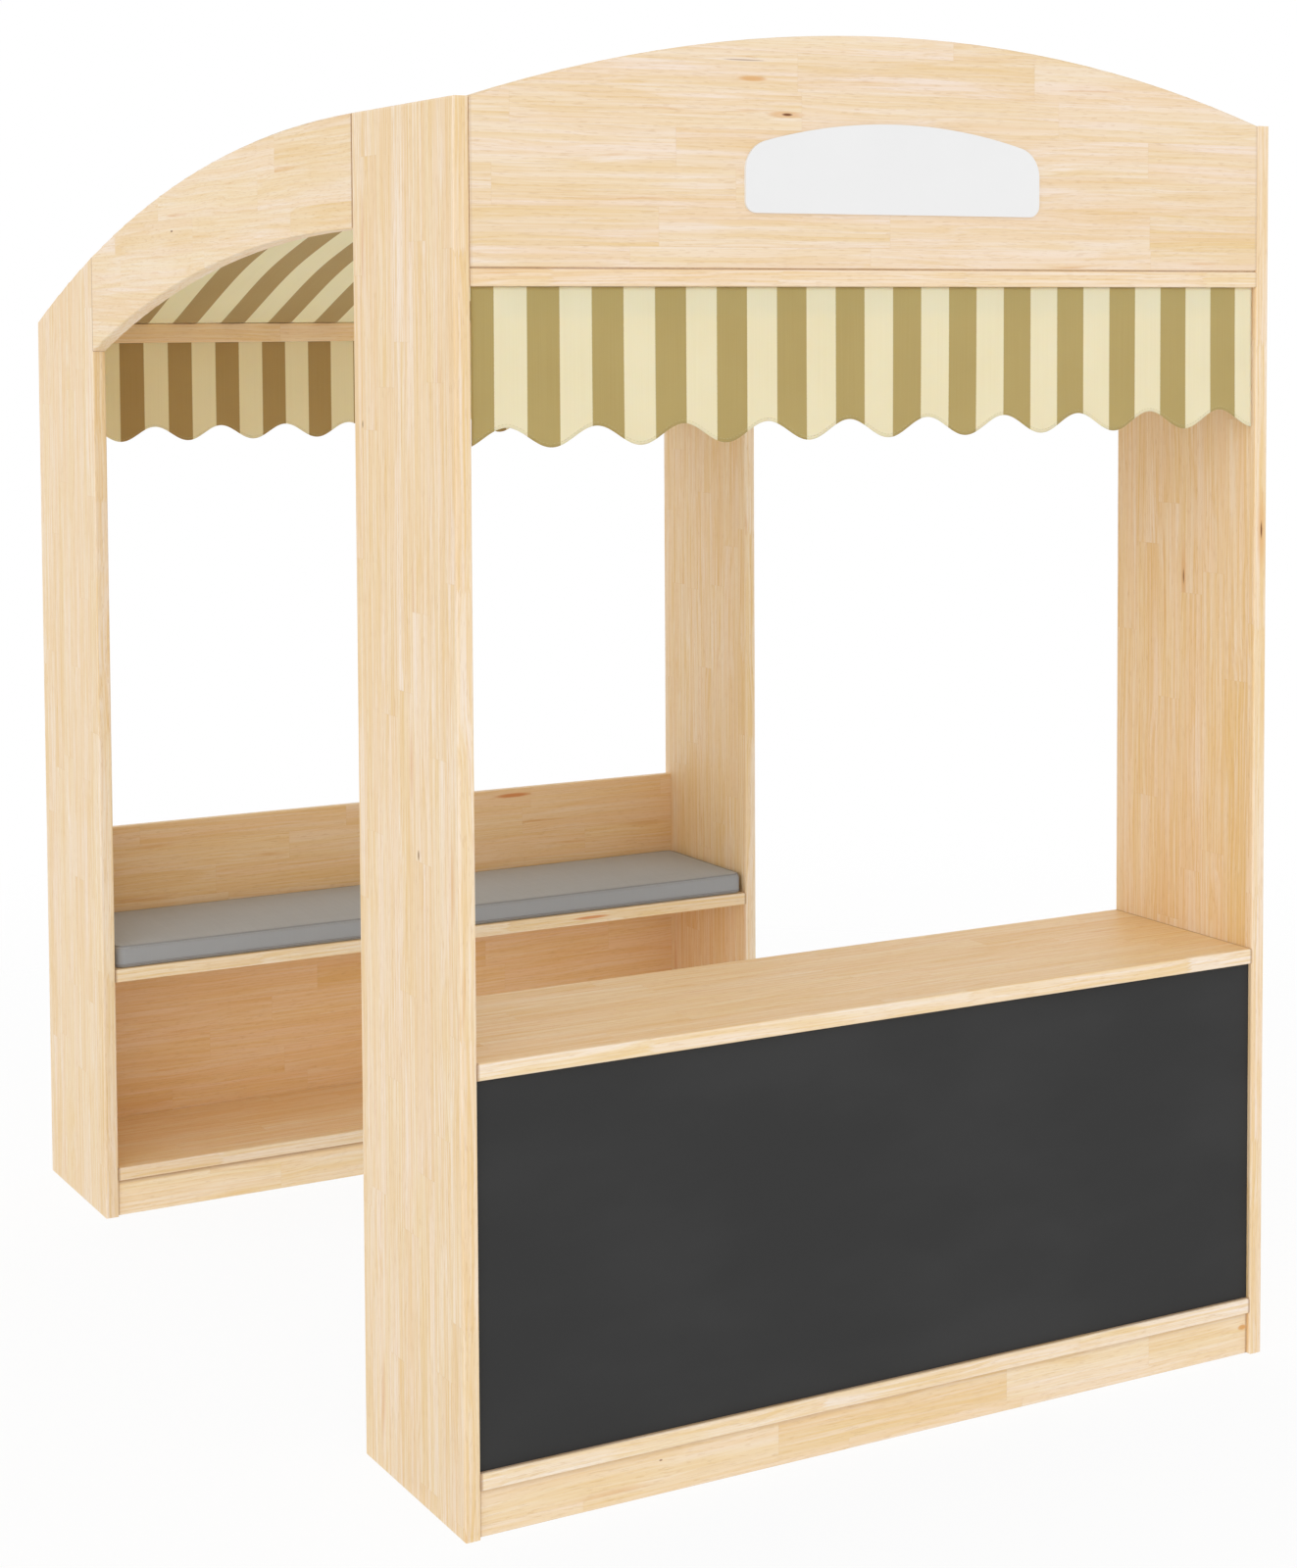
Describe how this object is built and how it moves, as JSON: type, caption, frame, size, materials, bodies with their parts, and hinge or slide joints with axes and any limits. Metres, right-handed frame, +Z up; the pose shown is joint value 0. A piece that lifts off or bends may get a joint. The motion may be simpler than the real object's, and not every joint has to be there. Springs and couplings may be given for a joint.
{
  "type": "toy market stall",
  "caption": "Child-size wooden market stall: counter unit with chalkboard front and arched header, joined by curved side bands and a striped cloth roof to a bench unit with a loose cushion.",
  "frame": {"origin": "on the floor, in the middle of the stall's footprint", "axes": "+Z up, +Y from the counter front to the bench back, +X to the right as the customer sees it"},
  "size_m": [1.05, 1.423, 1.54],
  "materials": {
    "board_wood": "clear satin lacquer on pale finger-jointed board",
    "chalk_paint": "matt dark grey chalk paint",
    "sign_white": "smooth white",
    "striped_cloth": "plain woven cotton in olive and cream stripes",
    "cushion_cover": "warm grey woven cover over foam",
    "hook_tape": "white hook-and-loop tape",
    "zinc_fitting": "zinc plated",
    "dowel_wood": "plain beech"
  },
  "bodies": {
    "stall": {"front_left_upright": "board_wood", "front_right_upright": "board_wood", "counter_top": "board_wood", "chalkboard": "chalk_paint", "front_bottom_shelf": "board_wood", "front_plinth": "board_wood", "front_rail": "board_wood", "header_panel": "board_wood", "sign_plate": "sign_white", "valance_batten": "board_wood", "front_valance": "striped_cloth", "rear_left_upright": "board_wood", "rear_right_upright": "board_wood", "bench_seat": "board_wood", "bench_back": "board_wood", "bench_bottom_shelf": "board_wood", "bench_plinth": "board_wood", "left_arch": "board_wood", "right_arch": "board_wood", "rear_rail": "board_wood", "rear_valance": "striped_cloth", "roof_canopy": "striped_cloth", "canopy_side_tapes": "hook_tape", "canopy_end_tapes": "hook_tape", "valance_tapes": "hook_tape", "cam_bolts": "zinc_fitting", "cam_locks": "zinc_fitting", "dowels": "dowel_wood"},
    "cushion": {"seat_cushion": "cushion_cover"}
  },
  "joints": [
    {"name": "cushion_lift", "type": "slide", "parent": "stall", "child": "cushion", "axis": [0, 0, 1], "range_m": [0, 0.16]}
  ]
}
